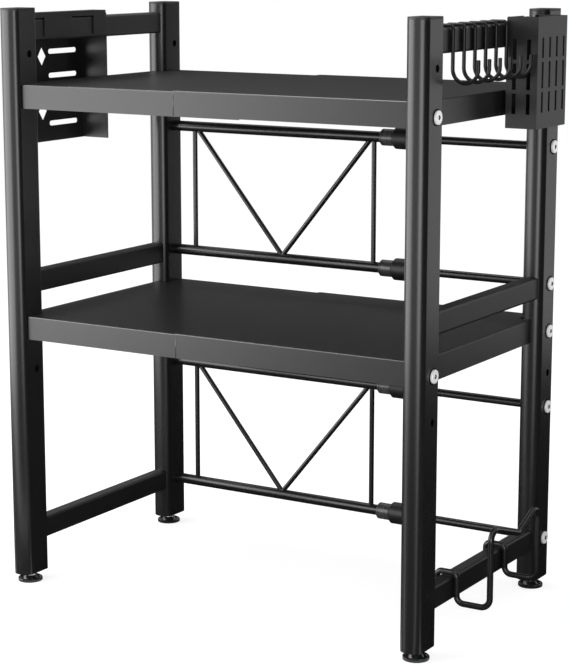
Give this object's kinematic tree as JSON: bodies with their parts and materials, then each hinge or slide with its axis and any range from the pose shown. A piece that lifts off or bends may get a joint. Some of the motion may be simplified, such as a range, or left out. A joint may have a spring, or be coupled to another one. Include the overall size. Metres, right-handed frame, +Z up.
{
  "type": "microwave stand",
  "caption": "Free-standing black steel stand with shelves that widen, levelling feet, side rails with hooks, utensil box, knife rack and board rack.",
  "frame": {"origin": "on the floor under the middle of the stand, between the four posts", "axes": "+Z up, +X to the stand's right as seen from the front, +Y from front to back"},
  "size_m": [0.6835, 0.363, 0.743],
  "materials": {
    "powder_black": "semi-gloss black powder coat",
    "plastic_black": "satin black moulded plastic",
    "pad_black": "glossy black moulded pad",
    "zinc_steel": "bright zinc-plated steel"
  },
  "bodies": {
    "left_side": {"left_front_post": "powder_black", "left_front_cap": "plastic_black", "left_front_plug": "plastic_black", "left_rear_post": "powder_black", "left_rear_cap": "plastic_black", "left_rear_plug": "plastic_black", "left_top_rail": "powder_black", "left_middle_rail": "powder_black", "left_bottom_rail": "powder_black", "top_shelf_left_half": "powder_black", "lower_shelf_left_half": "powder_black", "left_shelf_bolts": "zinc_steel", "left_rod_bolts": "zinc_steel", "left_shelf_nuts": "zinc_steel", "upper_brace": "powder_black", "lower_brace": "powder_black", "top_nose": "plastic_black", "upper_nose": "plastic_black", "lower_nose": "plastic_black", "bottom_nose": "plastic_black"},
    "right_side": {"right_front_post": "powder_black", "right_front_cap": "plastic_black", "right_front_plug": "plastic_black", "right_rear_post": "powder_black", "right_rear_cap": "plastic_black", "right_rear_plug": "plastic_black", "right_top_rail": "powder_black", "right_middle_rail": "powder_black", "right_bottom_rail": "powder_black", "top_shelf_right_half": "powder_black", "lower_shelf_right_half": "powder_black", "right_shelf_bolts": "zinc_steel", "right_rod_bolts": "zinc_steel", "right_shelf_nuts": "zinc_steel", "top_rod": "powder_black", "upper_rod": "powder_black", "lower_rod": "powder_black", "bottom_rod": "powder_black"},
    "top_twist_lock": {"top_collar": "plastic_black"},
    "upper_twist_lock": {"upper_collar": "plastic_black"},
    "lower_twist_lock": {"lower_collar": "plastic_black"},
    "bottom_twist_lock": {"bottom_collar": "plastic_black"},
    "left_front_foot": {"left_front_pad": "pad_black"},
    "left_front_screw": {"left_front_stud": "zinc_steel"},
    "left_rear_foot": {"left_rear_pad": "pad_black"},
    "left_rear_screw": {"left_rear_stud": "zinc_steel"},
    "right_front_foot": {"right_front_pad": "pad_black"},
    "right_front_screw": {"right_front_stud": "zinc_steel"},
    "right_rear_foot": {"right_rear_pad": "pad_black"},
    "right_rear_screw": {"right_rear_stud": "zinc_steel"},
    "hook_1_body": {"hook_1": "powder_black"},
    "hook_2_body": {"hook_2": "powder_black"},
    "hook_3_body": {"hook_3": "powder_black"},
    "hook_4_body": {"hook_4": "powder_black"},
    "hook_5_body": {"hook_5": "powder_black"},
    "hook_6_body": {"hook_6": "powder_black"},
    "utensil_box_body": {"utensil_box": "powder_black"},
    "knife_rack_body": {"knife_rack": "powder_black"},
    "board_rack_body": {"board_rack": "powder_black"}
  },
  "joints": [
    {"name": "width_slide", "type": "slide", "parent": "left_side", "child": "right_side", "axis": [1, 0, 0], "range_m": [-0.17, 0.05]},
    {"name": "top_twist_lock_turn", "type": "hinge", "parent": "left_side", "child": "top_twist_lock", "pos_m": [0.088, 0.1665, 0.5725], "axis": [1, 0, 0], "range_deg": [0, 180]},
    {"name": "upper_twist_lock_turn", "type": "hinge", "parent": "left_side", "child": "upper_twist_lock", "pos_m": [0.088, 0.1665, 0.399], "axis": [1, 0, 0], "range_deg": [0, 180]},
    {"name": "lower_twist_lock_turn", "type": "hinge", "parent": "left_side", "child": "lower_twist_lock", "pos_m": [0.088, 0.1665, 0.2395], "axis": [1, 0, 0], "range_deg": [0, 180]},
    {"name": "bottom_twist_lock_turn", "type": "hinge", "parent": "left_side", "child": "bottom_twist_lock", "pos_m": [0.088, 0.1665, 0.0653], "axis": [1, 0, 0], "range_deg": [0, 180]},
    {"name": "left_front_foot_travel", "type": "slide", "parent": "left_side", "child": "left_front_foot", "axis": [0, 0, 1], "range_m": [-0.015, 0]},
    {"name": "left_front_screw_turn", "type": "hinge", "parent": "left_front_foot", "child": "left_front_screw", "pos_m": [-0.286, -0.16, 0.0095], "axis": [0, 0, 1], "range_deg": [-4320, 0]},
    {"name": "left_rear_foot_travel", "type": "slide", "parent": "left_side", "child": "left_rear_foot", "axis": [0, 0, 1], "range_m": [-0.015, 0]},
    {"name": "left_rear_screw_turn", "type": "hinge", "parent": "left_rear_foot", "child": "left_rear_screw", "pos_m": [-0.286, 0.16, 0.0095], "axis": [0, 0, 1], "range_deg": [-4320, 0]},
    {"name": "right_front_foot_travel", "type": "slide", "parent": "right_side", "child": "right_front_foot", "axis": [0, 0, 1], "range_m": [-0.015, 0]},
    {"name": "right_front_screw_turn", "type": "hinge", "parent": "right_front_foot", "child": "right_front_screw", "pos_m": [0.286, -0.16, 0.0095], "axis": [0, 0, 1], "range_deg": [-4320, 0]},
    {"name": "right_rear_foot_travel", "type": "slide", "parent": "right_side", "child": "right_rear_foot", "axis": [0, 0, 1], "range_m": [-0.015, 0]},
    {"name": "right_rear_screw_turn", "type": "hinge", "parent": "right_rear_foot", "child": "right_rear_screw", "pos_m": [0.286, 0.16, 0.0095], "axis": [0, 0, 1], "range_deg": [-4320, 0]},
    {"name": "hook_1_slide", "type": "slide", "parent": "right_side", "child": "hook_1_body", "axis": [0, 1, 0], "range_m": [-0.011, 0.011]},
    {"name": "hook_2_slide", "type": "slide", "parent": "right_side", "child": "hook_2_body", "axis": [0, 1, 0], "range_m": [-0.011, 0.011]},
    {"name": "hook_3_slide", "type": "slide", "parent": "right_side", "child": "hook_3_body", "axis": [0, 1, 0], "range_m": [-0.011, 0.011]},
    {"name": "hook_4_slide", "type": "slide", "parent": "right_side", "child": "hook_4_body", "axis": [0, 1, 0], "range_m": [-0.011, 0.011]},
    {"name": "hook_5_slide", "type": "slide", "parent": "right_side", "child": "hook_5_body", "axis": [0, 1, 0], "range_m": [-0.011, 0.011]},
    {"name": "hook_6_slide", "type": "slide", "parent": "right_side", "child": "hook_6_body", "axis": [0, 1, 0], "range_m": [-0.011, 0.0005]},
    {"name": "utensil_box_lift_off", "type": "slide", "parent": "right_side", "child": "utensil_box_body", "axis": [0, 0, 1], "range_m": [0, 0.045]},
    {"name": "knife_rack_lift_off", "type": "slide", "parent": "left_side", "child": "knife_rack_body", "axis": [0, 0, 1], "range_m": [0, 0.045]},
    {"name": "board_rack_lift_off", "type": "slide", "parent": "right_side", "child": "board_rack_body", "axis": [0, 0, 1], "range_m": [0, 0.045]}
  ],
  "couplings": [
    {"joint": "left_front_screw_turn", "follows": "left_front_foot_travel", "rad_per_m": 5026.5},
    {"joint": "left_rear_screw_turn", "follows": "left_rear_foot_travel", "rad_per_m": 5026.5},
    {"joint": "right_front_screw_turn", "follows": "right_front_foot_travel", "rad_per_m": 5026.5},
    {"joint": "right_rear_screw_turn", "follows": "right_rear_foot_travel", "rad_per_m": 5026.5}
  ]
}
